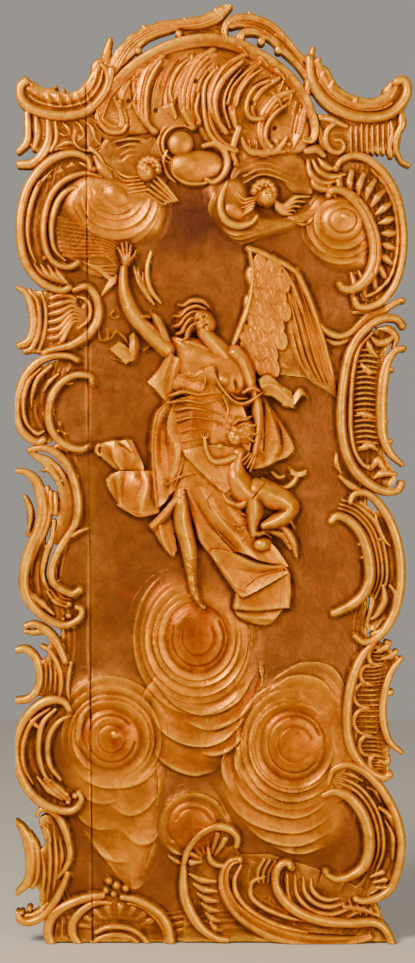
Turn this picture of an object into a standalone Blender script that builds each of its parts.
# A tall wooden panel carved in relief: an angel flies up from clouds with a child at the side,
# inside a shell and scroll frame with a pierced crest. Two upright boards, joined edge to edge.
# The back is flat and lies on y = 0, the carving faces -Y, and the origin is the middle of the back.

import math

import bmesh
import bpy
import numpy as np

# Sizes of the panel, in metres
PANEL_HEIGHT = 2.000
PANEL_WIDTH = 0.845
BOARD_THICKNESS = 0.028         # from the back to the plain ground
RELIEF_DEPTH = 0.054            # from the ground to the highest carving
NARROW_BOARD_WIDTH = 0.164      # of the left board, at the foot
JOINT_LEAN = 0.016              # how far the joint leans to the left from foot to top
JOINT_GAP = 0.0006              # the joint stands slightly open

# The carving is drawn in units of its own, which are millimetres at the sizes above
DRAWN_HEIGHT = 2000.0
DRAWN_WIDTH = 845.0
DRAWN_DEPTH = 54.0
DRAWN_LEFT = -421.0
CELL = 4.0                      # grid on which the carving is worked out
MARGIN = 14.0
NEAREST_CUT = 0.08              # the outline keeps this share of a cell clear of the grid's points
FACETS = 9000                   # triangles left after the surface is simplified
WALL = 4.0                      # steepness of the sides of a carved line
NOTHING = -40.0                 # height and cover where nothing is carved
SHARP_ANGLE = 40                # degrees, from which an edge is shaded sharp

WOOD_COLOUR = (0.50, 0.24, 0.055, 1.0)
WOOD_ROUGHNESS = 0.42


# Cross-sections: u runs from -1 on one side of a line to 1 on the other
def round_section(u):
    return np.sqrt(np.clip(1 - u * u, 0, 1))


def bead_section(u):
    return 0.45 + 0.55 * round_section(u)


def hollow_section(u):
    return 0.35 + 0.65 * u * u


class Relief:
    """Height over the ground and cover, the distance inside the outline, on one grid."""

    def __init__(self):
        right = DRAWN_LEFT + DRAWN_WIDTH
        self.x = np.arange(DRAWN_LEFT - MARGIN, right + MARGIN, CELL)
        self.z = np.arange(-3.5 * CELL, DRAWN_HEIGHT + MARGIN, CELL)
        self.X, self.Z = np.meshgrid(self.x, self.z, indexing="ij")
        self.height = np.full(self.X.shape, NOTHING)
        self.cover = np.full(self.X.shape, NOTHING)

    def window(self, low, high):
        i = np.searchsorted(self.x, (low[0], high[0]))
        j = np.searchsorted(self.z, (low[1], high[1]))
        return slice(*i), slice(*j)

    def raise_to(self, window, height, cover):
        self.height[window] = np.maximum(self.height[window], height)
        self.cover[window] = np.maximum(self.cover[window], cover)

    def nearest(self, path, reach):
        """Distance to the path, side (1 on the left of travel) and share of the way along it."""
        window = self.window(path.min(0) - reach, path.max(0) + reach)
        X, Z = self.X[window], self.Z[window]
        best = np.full(X.shape, float(reach))
        share, side = np.zeros(X.shape), np.ones(X.shape)
        steps = np.diff(path, axis=0)
        lengths = np.hypot(*steps.T)
        starts = np.concatenate([[0], np.cumsum(lengths)])
        for start, step, length, before in zip(path[:-1], steps, lengths, starts):
            px, pz = X - start[0], Z - start[1]
            t = np.clip((px * step[0] + pz * step[1]) / length ** 2, 0, 1)
            distance = np.hypot(px - t * step[0], pz - t * step[1])
            nearer = distance < best
            best = np.where(nearer, distance, best)
            share = np.where(nearer, (before + t * length) / starts[-1], share)
            side = np.where(nearer, np.where(step[0] * pz - step[1] * px >= 0, 1, -1), side)
        return window, best, side, share

    def line(self, points, width, height, section=bead_section):
        """A carved line; half-width and height are single or spaced evenly along it."""
        path = smooth_path(points)
        window, distance, side, share = self.nearest(path, np.max(width) + MARGIN)
        w, h = along(width, share), along(height, share)
        rise = h * section(np.clip(distance / w, 0, 1) * side)
        self.raise_to(window, rise - WALL * np.clip(distance - w, 0, None), w - distance)

    def dome(self, x, z, rx, rz, height, turn=0, section=round_section):
        reach = max(rx, rz) + MARGIN
        window = self.window((x - reach, z - reach), (x + reach, z + reach))
        c, s = math.cos(math.radians(turn)), math.sin(math.radians(turn))
        px, pz = self.X[window] - x, self.Z[window] - z
        r = np.hypot((px * c + pz * s) / rx, (pz * c - px * s) / rz)
        inside = (1 - r) * min(rx, rz)
        rise = height * section(np.clip(r, 0, 1)) - WALL * np.clip(-inside, 0, None)
        self.raise_to(window, rise, inside)

    def field(self, points, height, edge):
        """A filled outline whose face rounds down over the edge width."""
        ring = smooth_path(points, closed=True)
        window, distance, _, _ = self.nearest(ring, edge + MARGIN)
        X, Z = self.X[window], self.Z[window]
        inside = np.zeros(X.shape, bool)
        for (x1, z1), (x2, z2) in zip(ring[:-1], ring[1:]):
            if z1 != z2:
                crosses = (Z >= min(z1, z2)) & (Z < max(z1, z2))
                inside ^= crosses & (X < x1 + (Z - z1) * (x2 - x1) / (z2 - z1))
        cover = np.where(inside, distance, -distance)
        rise = height * round_section(1 - np.clip(cover / edge, 0, 1))
        self.raise_to(window, rise - WALL * np.clip(-cover, 0, None), cover)


def smooth_path(points, closed=False, step=8.0):
    """Catmull-Rom curve through the points."""
    p = np.array(points, float)
    if closed:
        p = np.vstack([p[-1:], p, p[:2]])
    else:
        p = np.vstack([2 * p[0] - p[1], p, 2 * p[-1] - p[-2]])
    out = []
    for a, b, c, d in zip(p, p[1:], p[2:], p[3:]):
        count = max(2, int(np.hypot(*(c - b)) / step))
        t = (np.arange(count) / count)[:, None]
        out.append(0.5 * (2 * b + (c - a) * t + (2 * a - 5 * b + 4 * c - d) * t ** 2
                          + (3 * b - a - 3 * c + d) * t ** 3))
    return np.vstack(out + [p[-2:-1]])


def along(values, share):
    values = np.atleast_1d(np.array(values, float))
    return np.interp(share, np.linspace(0, 1, len(values)), values)


def arc(x, z, rx, rz, start, end):
    """Points on part of an ellipse, angles in degrees from +x."""
    turns = np.radians(np.linspace(start, end, max(3, round(abs(end - start) / 30) + 1)))
    return [(x + rx * math.cos(a), z + rz * math.sin(a)) for a in turns]


def plain_ground(r):
    r.field([(-350, -30), (-350, 170), (-334, 285), (-358, 400), (-318, 505), (-340, 580), (-325, 665),
             (-355, 760), (-322, 900), (-310, 975), (-325, 1050), (-358, 1140), (-330, 1245), (-350, 1330),
             (-335, 1400), (-362, 1520), (-325, 1650), (-320, 1700), (-240, 1760), (-215, 1815),
             (-150, 1880), (-60, 1916), (20, 1920), (90, 1893), (150, 1852), (205, 1775), (232, 1700),
             (325, 1685), (342, 1400), (330, 1200), (332, 800), (330, 400), (345, 100), (368, -30)], 0, 6)


def arch_and_crest(r):
    r.line(arc(-8, 1738, 232, 187, 172, 90) + arc(-8, 1738, 226, 187, 60, -8) + [(198, 1713)],
           (10, 12, 12, 12, 11, 7), 16)
    r.line([(-214, 1856), (-185, 1905), (-140, 1942), (-75, 1960), (-15, 1968), (31, 1991)],
           (9, 14, 12, 10, 12, 8), (14, 12, 13, 15))
    r.line([(-224, 1858), (-228, 1890), (-219, 1927)], (12, 10, 5), 12)
    r.line([(-160, 1902), (-150, 1925)], 8, 11)
    r.line([(-76, 1922), (-72, 1950)], 7, 11)
    r.line([(-40, 1934), (-5, 1952), (24, 1938)], (8, 14, 8), 6)
    r.line([(26, 1930), (28, 1960), (60, 1975), (115, 1962), (162, 1918), (205, 1878)], 8, 14)
    r.line([(44, 1958), (96, 1954), (148, 1918), (200, 1858)], 8, 12)
    r.line([(62, 1922), (92, 1944), (140, 1915), (203, 1840)], (10, 8, 8), 13)
    r.line([(90, 1968), (76, 1983)], (8, 4), 13)


def ear(r, side):
    """The upturned shell at a top corner; side is -1 for the left one."""
    rim = [(207, 1880), (212, 1843), (232, 1806), (264, 1779), (302, 1765), (345, 1762), (385, 1775), (407, 1800),
           (412, 1826), (396, 1838)]
    r.line([(side * x, z) for x, z in rim], 10, 19)
    r.line([(side * 228, 1880), (side * 248, 1835), (side * 282, 1803), (side * 325, 1796), (side * 372, 1808),
            (side * 396, 1828)], (9, 15, 18, 15, 9), 13)
    r.line([(side * 214, 1870), (side * 222, 1906)], (9, 5), 14)
    r.line([(side * 244, 1850), (side * 246, 1880)], (12, 6), 13)


def neck(r, side):
    """The fluted piece under each ear."""
    r.field([(side * x, z) for x, z in
             ((226, 1775), (402, 1775), (400, 1715), (392, 1684), (300, 1686), (236, 1690))], 6, 6)
    for k in range(5):
        x = side * (296 + 21 * k)
        r.line([(x, 1762), (x - side * 3, 1695)], 8, (8, 12))
    r.line([(side * 398, 1765), (side * 392, 1712), (side * 400, 1676), (side * 416, 1661)], (8, 9, 7), 13)
    r.line([(side * 270, 1752), (side * 244, 1722), (side * 255, 1690)], (8, 10, 7), 12)


def scroll(r, rim, inner, hollow, width, height=20):
    """A C-scroll: outer rim, inner rim and the hollow between them."""
    r.line(hollow, width, 7, hollow_section)
    r.line(rim, (7, 9, 9, 8), height)
    if inner:
        r.line(inner, (7, 9, 9, 7), height - 1)


def left_frame(r):
    scroll(r, [(-258, 1650), (-300, 1682), (-350, 1664), (-392, 1612), (-411, 1545), (-407, 1470), (-378, 1418),
               (-322, 1392)],
           [(-240, 1634), (-290, 1638), (-340, 1600), (-360, 1540), (-357, 1482), (-330, 1446), (-290, 1448)],
           [(-270, 1652), (-330, 1640), (-380, 1560), (-382, 1480), (-345, 1422)], (16, 24, 26, 24, 18))
    r.line([(-256, 1606), (-305, 1606), (-342, 1550), (-340, 1480), (-316, 1452)], (6, 8, 8, 7), 15)
    # upper shell
    r.field([(-388, 1394), (-330, 1390), (-262, 1396), (-246, 1350), (-268, 1300), (-320, 1258),
             (-398, 1262), (-384, 1330)], 8, 8)
    r.line([(-411, 1398), (-390, 1374), (-384, 1326), (-394, 1284), (-412, 1275)], (7, 9, 9, 8), 14)
    r.line([(-296, 1394), (-262, 1394), (-244, 1350), (-262, 1304), (-306, 1274), (-358, 1260)], 8, 18)
    for k in range(4):
        r.line([(-352, 1368 - 26 * k), (-318, 1370 - 24 * k), (-288, 1352 - 10 * k)], (8, 10, 6), 13)
    # second scroll and its inner hook
    scroll(r, [(-290, 1244), (-350, 1250), (-402, 1206), (-411, 1140), (-404, 1088), (-364, 1070)], None,
           [(-312, 1232), (-366, 1194), (-382, 1130), (-358, 1082)], (18, 28, 30, 22))
    r.line([(-257, 1196), (-300, 1210), (-345, 1168), (-350, 1104), (-318, 1064), (-266, 1058)], 8, 18)
    r.line([(-372, 1222), (-402, 1172), (-398, 1108)], (6, 8, 6), 17)
    # middle sweep
    r.line([(-388, 1042), (-340, 1018), (-312, 965), (-312, 915), (-332, 860), (-350, 800)], (9, 15, 20, 20, 20), 10)
    r.line([(-394, 1052), (-340, 1048), (-298, 996), (-288, 926), (-314, 860), (-342, 800), (-328, 756), (-286, 753)],
           (7, 9, 9, 8, 8, 8, 7), 18)
    r.line([(-264, 884), (-300, 870)], (6, 8), 14)
    r.line([(-372, 880), (-383, 800), (-364, 722), (-330, 700)], (16, 25, 26, 18), 7, hollow_section)
    r.line([(-412, 1006), (-384, 992), (-363, 925), (-389, 842), (-404, 768), (-373, 706), (-318, 677), (-281, 704)],
           (8, 11, 11, 10, 10, 9, 8), (12, 19, 19, 19, 19))
    r.line([(-402, 952), (-389, 905), (-396, 860)], (7, 9, 7), 12)
    r.line([(-396, 766), (-372, 728), (-336, 702)], (7, 10, 7), 15)
    # lower shell
    r.field([(-384, 605), (-352, 645), (-312, 610), (-302, 560), (-306, 512), (-376, 522), (-366, 560)], 8, 8)
    r.line([(-400, 676), (-350, 660), (-314, 598)], (7, 9, 8), 16)
    r.line([(-413, 624), (-386, 614), (-372, 570), (-386, 530), (-413, 516)], 8, 13)
    for k in range(3):
        r.line([(-354 + 18 * k, 612), (-352 + 18 * k, 526)], 7, 12)
    # foot scroll
    scroll(r, [(-304, 498), (-345, 519), (-397, 483), (-412, 408), (-400, 336), (-350, 288), (-290, 288),
               (-286, 318)], None,
           [(-330, 500), (-388, 440), (-386, 380), (-326, 304)], (16, 33, 33, 20))
    r.line([(-350, 500), (-400, 444), (-402, 372)], (7, 8, 6), 17)
    r.line([(-312, 486), (-356, 440), (-352, 372), (-316, 338)], (8, 10, 10, 7), 15)
    # foot shell
    r.field([(-372, 264), (-345, 276), (-312, 232), (-302, 180), (-330, 90), (-372, 58), (-366, 100),
             (-384, 185)], 8, 8)
    r.line([(-375, 272), (-340, 276), (-308, 215), (-312, 150), (-341, 82), (-390, 43), (-411, 60)], 8, 17)
    r.line([(-412, 258), (-392, 208), (-391, 150), (-413, 104)], (8, 11, 11, 8), 15)
    for k in range(2):
        r.line([(-360 + 24 * k, 240), (-352 + 22 * k, 160), (-366 + 24 * k, 90)], (6, 10, 6), 12)


def right_frame(r):
    scroll(r, [(262, 1652), (300, 1680), (364, 1644), (403, 1545), (403, 1450), (370, 1374), (306, 1362)],
           [(246, 1594), (284, 1602), (332, 1540), (346, 1468), (320, 1406), (272, 1402)],
           [(290, 1640), (350, 1610), (374, 1530), (372, 1450), (335, 1388)], (26, 33, 32, 30, 22), 21)
    for k in range(7):
        a = math.radians(100 - 28 * k)
        r.line([(296 + 56 * math.cos(a), 1512 + 82 * math.sin(a)),
                (296 + 88 * math.cos(a), 1512 + 122 * math.sin(a))], (6, 11), 13)
    for k in range(3):
        r.line([(204 + 9 * k, 1660 - 4 * k), (232 + 6 * k, 1634 - 12 * k), (268, 1634 - 12 * k)], (6, 10, 7), 15)
    r.line([(228, 1318), (268, 1295), (320, 1328), (362, 1348), (408, 1370)], (7, 8, 9, 10, 7), 14)
    # tall C
    r.line([(356, 1290), (323, 1200), (322, 1100), (345, 1010)], (24, 36, 36, 26), 8, hollow_section)
    for k in range(8):
        r.line([(300, 1255 - 26 * k), (350, 1258 - 26 * k)], 8, 12)
    r.line([(404, 1318), (360, 1332), (304, 1284), (277, 1180), (279, 1070), (322, 986), (380, 962), (404, 980)],
           (8, 10, 10, 10, 10, 9), 21)
    r.line([(405, 1268), (368, 1232), (359, 1140), (370, 1060), (404, 1020)], (8, 12, 12, 11, 7), 17)
    r.line([(340, 1298), (376, 1288), (396, 1302)], (8, 13, 9), 15)
    r.line([(338, 1012), (372, 1000), (392, 990)], (12, 15, 9), 14)
    r.line([(272, 1040), (272, 1005), (320, 962)], (6, 9, 9), 12)
    # lower S
    scroll(r, [(294, 942), (330, 959), (386, 886), (402, 800), (388, 706), (342, 644), (304, 654)],
           [(252, 900), (286, 904), (328, 840), (335, 780), (310, 730), (257, 703)],
           [(310, 925), (352, 880), (368, 800), (340, 680)], (18, 31, 33, 20), 20)
    r.line([(364, 880), (380, 800), (368, 706)], (8, 10, 8), 15)
    # lobed shell
    r.field([(345, 645), (316, 612), (292, 540), (290, 440), (330, 366), (374, 358), (378, 430), (362, 495),
             (372, 570), (396, 605)], 7, 6)
    for x, z, rx, rz in ((340, 598, 20, 24), (322, 530, 28, 30), (324, 460, 28, 30), (340, 398, 22, 22)):
        r.dome(x, z, rx, rz, 15)
    r.line([(343, 642), (304, 590), (286, 490), (305, 396), (344, 359), (376, 360)], (8, 10, 10, 9), 19)
    r.line([(402, 606), (369, 546), (366, 460), (402, 406)], (7, 9, 9, 7), 15)
    # foot C
    scroll(r, [(247, 345), (286, 380), (356, 332), (398, 240), (391, 142), (348, 94), (305, 94)],
           [(238, 316), (290, 312), (332, 240), (322, 164), (262, 136), (242, 150)],
           [(264, 350), (340, 310), (370, 215), (340, 120)], (18, 29, 31, 22), 21)
    r.line([(366, 280), (386, 190)], (8, 8), 16)


def foot_ornament(r):
    r.field([(-354, -30), (-350, 50), (-300, 92), (-220, 106), (-140, 90), (-92, 50), (-82, -30)], 6, 6)
    r.line([(-342, -20), (-350, 40), (-300, 86), (-236, 101)], 9, 18)
    r.line([(-194, 97), (-122, 68), (-90, -20)], 8, 18)
    r.line(arc(-222, -8, 78, 88, 178, 82), (8, 9, 7), 16)
    r.line(arc(-194, -20, 62, 54, 160, 5), 8, 15)
    r.dome(-210, 118, 20, 18, 17)
    r.field([(-66, -30), (-62, 150), (-40, 215), (10, 240), (60, 200), (130, 185), (240, 155), (330, 112),
             (366, 50), (386, -30)], 5, 6)
    r.line([(-62, 168), (-60, 90), (-25, 32), (30, 6)], (8, 10, 10, 8), 18)
    r.line(arc(-6, 184, 56, 58, 200, 10), (8, 10, 9, 8), 19)
    for k in range(3):
        r.line([(-44 + 14 * k, 132 - 34 * k), (6 + 4 * k, 112 - 32 * k)], (7, 10), 12)
    for k in range(4):
        a = math.radians(195 - 42 * k)
        r.line([(-8 + 16 * math.cos(a), 178 + 14 * math.sin(a)),
                (-6 + 42 * math.cos(a), 188 + 42 * math.sin(a))], (6, 11), 13)
    r.line([(58, 178), (24, 148), (34, 92), (92, 38), (190, 8), (330, 10)], (9, 14, 16, 14, 10), 20)
    r.line([(72, 165), (70, 110), (130, 58), (230, 40), (330, 28)], (9, 14, 14, 10), 11)
    r.line([(166, 164), (138, 158), (137, 116), (194, 60), (300, 42), (368, 26), (384, -20)],
           (8, 10, 11, 10, 9, 8), 22)
    for k in range(2):
        r.line(arc(250, 128, 82 - 28 * k, 72 - 26 * k, 168, 300), (6, 10, 8), 13)


def crown(r):
    """The large curling leaves under the arch."""
    for points, width, height in (
            ([(-148, 1872), (-195, 1820), (-200, 1790)], (8, 12, 7), 15),
            ([(-242, 1758), (-214, 1730), (-186, 1744), (-206, 1790)], (8, 15, 14, 9), 16),
            ([(-108, 1882), (-136, 1835), (-140, 1775), (-126, 1732)], (11, 20, 16, 8), 20),
            ([(-165, 1860), (-166, 1810), (-154, 1762)], (7, 12, 7), 14),
            ([(-52, 1886), (-86, 1842), (-92, 1800), (-88, 1770)], (12, 22, 16, 8), 18),
            ([(-6, 1896), (-44, 1850), (-54, 1800), (-44, 1748)], (12, 22, 18, 10), 17),
            ([(2, 1860), (-18, 1815), (-14, 1755), (6, 1712), (46, 1690)], (8, 11, 12, 10, 7), 20),
            ([(62, 1880), (18, 1842), (4, 1790), (22, 1730)], (9, 16, 17, 9), 23),
            ([(98, 1876), (52, 1838), (34, 1780), (44, 1736)], (8, 14, 14, 8), 18),
            ([(120, 1862), (88, 1822), (72, 1776), (108, 1758)], (8, 17, 13, 8), 21),
            ([(162, 1836), (134, 1790), (114, 1740), (132, 1698)], (8, 17, 13, 8), 20),
            ([(190, 1806), (172, 1762), (166, 1702)], (8, 15, 10), 15),
            ([(60, 1712), (88, 1690), (136, 1692), (158, 1716)], (8, 11, 11, 7), 16),
            ([(46, 1736), (42, 1690), (52, 1660)], (9, 10, 6), 15)):
        r.line(points, width, height)
    r.dome(-69, 1705, 30, 30, 16)
    r.line(arc(-69, 1705, 45, 45, 60, 250), (6, 9, 6), 14)
    r.dome(-36, 1655, 60, 36, 17, 8)
    r.line([(-16, 1700), (20, 1690), (30, 1650), (2, 1622)], (6, 8, 8, 6), 19)


def clouds(r):
    # beside the cherubs
    r.dome(-205, 1594, 30, 22, 17, -40)
    r.line(arc(-204, 1588, 52, 44, 150, 330), (7, 10, 8), 15)
    r.line(arc(-200, 1584, 80, 66, 170, 350), (7, 12, 8), 13)
    r.dome(276, 1538, 46, 42, 22)
    r.line(arc(284, 1524, 66, 78, 130, 305), (7, 11, 8), 15)
    r.line(arc(56, 1575, 42, 44, 160, 300), (7, 11, 8), 15)
    # under the angel
    r.field([(-150, 730), (-112, 765), (-20, 750), (50, 712), (92, 640), (90, 540), (72, 450), (20, 384),
             (-60, 368), (-125, 420), (-158, 540), (-168, 650)], 10, 22)
    r.dome(-38, 650, 66, 76, 27)
    for k in range(4):
        r.line(arc(-38 - 7 * k, 648 + 6 * k, 80 + 17 * k, 88 + 15 * k, 118 + 8 * k, 350 - 16 * k), (6, 9, 9, 7),
               21 - 2 * k)
    for k in range(3):
        r.line(arc(-28, 500 - 18 * k, 96 - 20 * k, 124 - 34 * k, 195, 345), (6, 9, 7), 16)
    # left disc and the stream below it
    r.dome(-213, 433, 62, 62, 22)
    for k in range(3):
        r.line(arc(-212 - 4 * k, 435 + 4 * k, 80 + 20 * k, 76 + 20 * k, -70 + 22 * k, 205 - 18 * k), (6, 9, 9, 7),
               18 - 3 * k)
    r.field([(-285, 385), (-150, 372), (-112, 345), (-116, 220), (-165, 118), (-215, 150), (-255, 210),
             (-286, 320)], 8, 20)
    for k in range(3):
        r.line(arc(-206, 318 - 44 * k, 66 - 12 * k, 40, 200, 345), (6, 9, 7), 14)
    # right disc
    r.dome(172, 425, 66, 62, 22)
    for k in range(2):
        r.line(arc(170, 424, 84 + 19 * k, 80 + 17 * k, 60 + 12 * k, 360 - 20 * k), (6, 9, 9, 7), 18 - 3 * k)
    r.line([(101, 524), (164, 551), (224, 566), (263, 536)], (7, 11, 7), 13)
    for k in range(3):
        r.line(arc(160, 398 - 14 * k, 122, 118 + 14 * k, 205, 320), (6, 10, 10, 7), 14 - 2 * k)
    # low dome over the foot
    r.dome(-43, 250, 56, 50, 16)
    r.line(arc(-43, 256, 72, 58, 190, 5), (6, 8, 6), 13)


def cherub(r, x, z, size, wing_left, wing_right):
    r.dome(x, z, size, size * 1.05, 32)
    r.line(wing_left, (8, 14, 8), 15)
    r.line(wing_right, (8, 14, 8), 14)


def angel_wings(r):
    r.field([(76, 1480), (104, 1478), (150, 1457), (184, 1431), (202, 1386), (227, 1332), (240, 1250),
             (263, 1162), (226, 1186), (198, 1222), (160, 1300), (128, 1272), (92, 1225), (50, 1262),
             (56, 1320), (74, 1370), (82, 1430)], 13, 9)
    r.line([(80, 1474), (131, 1463), (182, 1430), (202, 1384), (228, 1330)], (7, 9, 10, 9, 7), 21)
    r.line([(104, 1468), (98, 1400), (84, 1340), (66, 1288)], (7, 10, 12, 10), 18)
    for k in range(4):
        r.line([(132 + 18 * k, 1392 - 12 * k), (158 + 16 * k, 1315 - 6 * k), (192 + 12 * k, 1245 - 4 * k),
                (236 + 6 * k, 1190 - 10 * k)], (7, 9, 9, 6), 18)
    for k in range(5):
        r.line([(-328, 1540 - 19 * k), (-262, 1526 - 18 * k), (-196, 1500 - 16 * k)], (6, 9, 7), 12)


def angel_body(r):
    r.dome(-40, 1336, 42, 38, 36, 20)
    r.dome(-34, 1328, 28, 36, 45, 25)
    r.line([(-16, 1300), (8, 1262)], 17, 38, round_section)
    r.line([(-184, 1482), (-184, 1460), (-190, 1434)], (6, 12, 9), 24, round_section)
    r.line([(-190, 1436), (-187, 1380), (-154, 1326), (-104, 1274)], (10, 15, 20, 24), (26, 34, 38, 38),
           round_section)
    r.field([(-104, 1292), (-52, 1290), (8, 1268), (54, 1276), (82, 1238), (72, 1190), (60, 1140), (0, 1120),
             (-60, 1140), (-92, 1200)], 38, 30)
    r.dome(34, 1198, 20, 20, 44)
    r.line([(60, 1252), (86, 1200), (98, 1140), (96, 1070), (78, 1014)], (21, 18, 14, 12, 9), (43, 42, 40, 38),
           round_section)
    r.line([(-61, 960), (-50, 885), (-43, 800), (-34, 745), (-25, 704)], (23, 20, 15, 11, 7), (38, 36, 32, 26),
           round_section)


def drapery(r):
    # scarf at the raised arm and ribbons on both sides
    r.line([(-130, 1472), (-137, 1412), (-116, 1370)], (6, 8, 7), 12)
    r.line([(-240, 1300), (-215, 1284), (-190, 1262), (-172, 1240)], (9, 11, 12, 9), 13)
    r.line([(-120, 1335), (-112, 1290), (-92, 1250), (-106, 1205), (-102, 1158)], (9, 16, 16, 17, 7), 30)
    r.line([(96, 1180), (130, 1186), (154, 1164), (170, 1148), (186, 1172), (202, 1160)], (9, 12, 9, 7, 7, 6), 22)
    r.field([(104, 1160), (130, 1142), (156, 1102), (174, 1060), (152, 1032), (110, 1006), (88, 1060)], 20, 12)
    r.line([(150, 1000), (196, 1004), (176, 981), (140, 965)], (7, 7, 7, 7), 15)
    # skirt over the hips and thighs
    r.field([(-126, 1160), (-60, 1176), (30, 1148), (66, 1090), (52, 1010), (24, 960), (-20, 900), (-64, 930),
             (-104, 930), (-132, 990), (-130, 1080)], 30, 26)
    r.line([(-60, 1130), (-10, 1100), (20, 1040), (14, 968)], (30, 36, 30, 20), 38, round_section)
    r.line([(-92, 1130), (-84, 1050), (-74, 960)], (24, 28, 22), 36, round_section)
    # billow on the left
    r.field([(-248, 1066), (-205, 1074), (-164, 1068), (-130, 1080), (-126, 925), (-165, 914), (-208, 930),
             (-238, 980), (-218, 1012), (-246, 1032)], 17, 12)
    for points in ([(-236, 1050), (-190, 1046), (-150, 1020)], [(-199, 1030), (-196, 970), (-165, 922)],
                   [(-150, 1040), (-150, 980), (-134, 925)]):
        r.line(points, (7, 11, 8), 23)
    # flap and the blown hem on the right
    r.field([(-134, 888), (-100, 930), (-66, 944), (-84, 880), (-90, 828)], 22, 10)
    r.field([(-62, 930), (20, 960), (60, 880), (100, 822), (158, 798), (158, 720), (128, 688), (70, 680),
             (20, 740), (-16, 800), (-28, 870)], 20, 12)
    for points in ([(-50, 960), (0, 880), (48, 830)], [(-30, 930), (-6, 870), (10, 822)], [(44, 800), (100, 790),
                   (154, 792)], [(30, 760), (100, 740), (156, 716)], [(44, 716), (90, 700), (126, 690)],
                   [(30, 940), (60, 880), (96, 830)]):
        r.line(points, (8, 11, 7), 27)


def child(r):
    r.dome(65, 1080, 31, 32, 54)
    r.line([(48, 1046), (48, 1000), (76, 962)], (24, 29, 27), 50, round_section)
    r.line([(-18, 1084), (-8, 1050), (22, 1030), (46, 1034)], (9, 11, 13, 12), 46, round_section)
    r.line([(88, 950), (84, 905), (78, 868)], (18, 15, 10), 44, round_section)
    r.line([(96, 948), (150, 932), (158, 908), (112, 886)], (19, 18, 14, 10), 45, round_section)
    r.line([(60, 956), (44, 942), (26, 944)], (12, 10, 8), 42, round_section)
    r.line([(140, 891), (170, 864), (182, 828)], (8, 10, 7), 26)
    r.dome(101, 850, 27, 24, 38)


def carve():
    """The whole relief, ground first and figures last."""
    r = Relief()
    plain_ground(r)
    for side in (-1, 1):
        neck(r, side)
        ear(r, side)
    arch_and_crest(r)
    left_frame(r)
    right_frame(r)
    foot_ornament(r)
    crown(r)
    clouds(r)
    cherub(r, -138, 1652, 28, [(-160, 1640), (-196, 1626), (-224, 1642)], [(-120, 1626), (-92, 1604), (-72, 1588)])
    cherub(r, 110, 1599, 29, [(88, 1590), (62, 1572), (44, 1586)], [(136, 1580), (166, 1580), (196, 1592)])
    angel_wings(r)
    angel_body(r)
    drapery(r)
    child(r)
    r.height = np.clip(r.height, 0, DRAWN_DEPTH)
    for limit in (r.Z, DRAWN_HEIGHT - r.Z, r.X - DRAWN_LEFT, DRAWN_LEFT + DRAWN_WIDTH - r.X):
        r.cover = np.minimum(r.cover, limit)
    return r


class Surface:
    """Collects the vertices and faces of the closed solid."""

    def __init__(self):
        self.points, self.faces, self.known = [], [], {}

    def point(self, key, x, z, height):
        """Index of the front point; the one after it lies behind it on the back."""
        if key not in self.known:
            self.known[key] = len(self.points)
            px = x * PANEL_WIDTH / DRAWN_WIDTH
            pz = (z / DRAWN_HEIGHT - 0.5) * PANEL_HEIGHT
            front = -BOARD_THICKNESS - height * RELIEF_DEPTH / DRAWN_DEPTH
            self.points += [(px, front, pz), (px, 0.0, pz)]
        return self.known[key]

    def add(self, ring):
        self.faces.append(ring)
        self.faces.append([index + 1 for index in reversed(ring)])

    def wall(self, a, b):
        self.faces.append([b, a, a + 1, b + 1])


def trace(r):
    """Marching squares over the cover: front, back and the sawn edge between them."""
    surface = Surface()
    inside = r.cover > 0

    def corner(i, j):
        return surface.point((i, j), r.x[i], r.z[j], r.height[i, j])

    def crossing(i, j, k, m):
        (i, j), (k, m) = sorted(((i, j), (k, m)))
        a, b = r.cover[i, j], r.cover[k, m]
        t = min(max(a / (a - b), NEAREST_CUT), 1 - NEAREST_CUT)
        height = r.height[i, j] if inside[i, j] else r.height[k, m]
        return surface.point((i, j, k, m), r.x[i] + t * (r.x[k] - r.x[i]), r.z[j] + t * (r.z[m] - r.z[j]),
                             height)

    for i in range(len(r.x) - 1):
        for j in range(len(r.z) - 1):
            ring = [(i, j), (i + 1, j), (i + 1, j + 1), (i, j + 1)]
            within = [inside[c] for c in ring]
            if all(within):
                surface.add([corner(*c) for c in ring])
            elif any(within):
                runs, cuts = [], 0
                for n in range(4):
                    here, after = ring[n], ring[(n + 1) % 4]
                    if within[n]:
                        runs.append((n, corner(*here)))
                    if within[n] != within[(n + 1) % 4]:
                        runs.append((n + 0.5, crossing(*here, *after)))
                        cuts += 1
                if cuts == 4:
                    split_cell(surface, runs, within)
                else:
                    close_cell(surface, runs, within)
    return surface


def close_cell(surface, runs, within):
    """One run of corners inside: its face, and the sawn edge where the outline leaves the cell."""
    surface.add([index for _, index in runs])
    for (place, index), (_, following) in zip(runs, runs[1:] + runs[:1]):
        if place % 1 and not within[int(place + 0.5) % 4]:
            surface.wall(index, following)


def split_cell(surface, runs, within):
    """Two opposite corners inside: a triangle at each."""
    places = {place: index for place, index in runs}
    for n in range(4):
        if within[n]:
            before, after = places[(n - 0.5) % 4], places[n + 0.5]
            surface.add([before, places[n], after])
            surface.wall(after, before)


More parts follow.
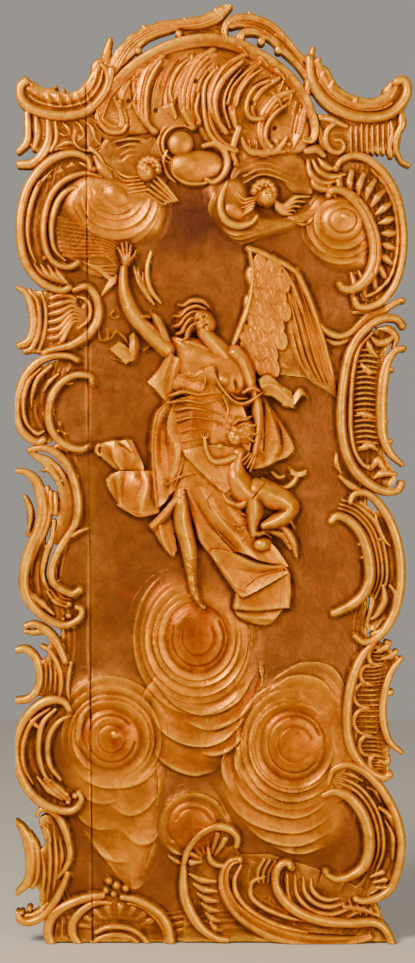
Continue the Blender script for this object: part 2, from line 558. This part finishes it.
def simplified(surface):
    """The traced solid with most of its small facets merged, as a bmesh."""
    mesh = bpy.data.meshes.new("traced")
    mesh.from_pydata(surface.points, [], surface.faces)
    traced = bpy.data.objects.new("traced", mesh)
    bpy.context.scene.collection.objects.link(traced)
    merge = traced.modifiers.new("Decimate", "DECIMATE")
    mesh.calc_loop_triangles()
    merge.ratio = FACETS / len(mesh.loop_triangles)
    bpy.context.view_layer.update()
    result = bmesh.new()
    result.from_object(traced, bpy.context.evaluated_depsgraph_get())
    bpy.data.objects.remove(traced)
    bmesh.ops.triangulate(result, faces=result.faces)
    return result


def board(name, solid, edge, keep, material):
    """One board: the solid on one side of the leaning joint."""
    bm = solid.copy()
    foot, top = edge
    run = np.array([top - foot, 0.0, PANEL_HEIGHT])
    across = np.cross((0.0, 1.0, 0.0), run)
    across /= np.linalg.norm(across)
    everything = bm.verts[:] + bm.edges[:] + bm.faces[:]
    bmesh.ops.bisect_plane(bm, geom=everything, plane_co=(foot, 0, -PANEL_HEIGHT / 2), plane_no=across,
                           clear_inner=keep > 0, clear_outer=keep < 0, dist=1e-6)
    rim = [e for e in bm.edges if e.is_boundary]
    bmesh.ops.triangle_fill(bm, edges=rim, use_beauty=True)
    bmesh.ops.triangulate(bm, faces=bm.faces)
    bmesh.ops.recalc_face_normals(bm, faces=bm.faces)
    mesh = bpy.data.meshes.new(name)
    bm.to_mesh(mesh)
    bm.free()
    mesh.materials.append(material)
    mesh.shade_smooth()
    mesh.set_sharp_from_angle(angle=math.radians(SHARP_ANGLE))
    item = bpy.data.objects.new(name, mesh)
    bpy.context.scene.collection.objects.link(item)


def wood():
    material = bpy.data.materials.new("gilded_wood")
    material.use_nodes = True
    shader = material.node_tree.nodes["Principled BSDF"]
    shader.inputs["Base Color"].default_value = WOOD_COLOUR
    shader.inputs["Roughness"].default_value = WOOD_ROUGHNESS
    shader.inputs["Metallic"].default_value = 0.0
    return material


def main():
    for item in list(bpy.data.objects):
        bpy.data.objects.remove(item)
    solid = simplified(trace(carve()))
    for v in solid.verts:
        if v.co.y > -BOARD_THICKNESS / 4:
            v.co.y = 0.0
    material = wood()
    foot = DRAWN_LEFT * PANEL_WIDTH / DRAWN_WIDTH + NARROW_BOARD_WIDTH
    top = foot - JOINT_LEAN
    half = JOINT_GAP / 2
    board("left_board", solid, (foot - half, top - half), -1, material)
    board("right_board", solid, (foot + half, top + half), 1, material)
    solid.free()


main()
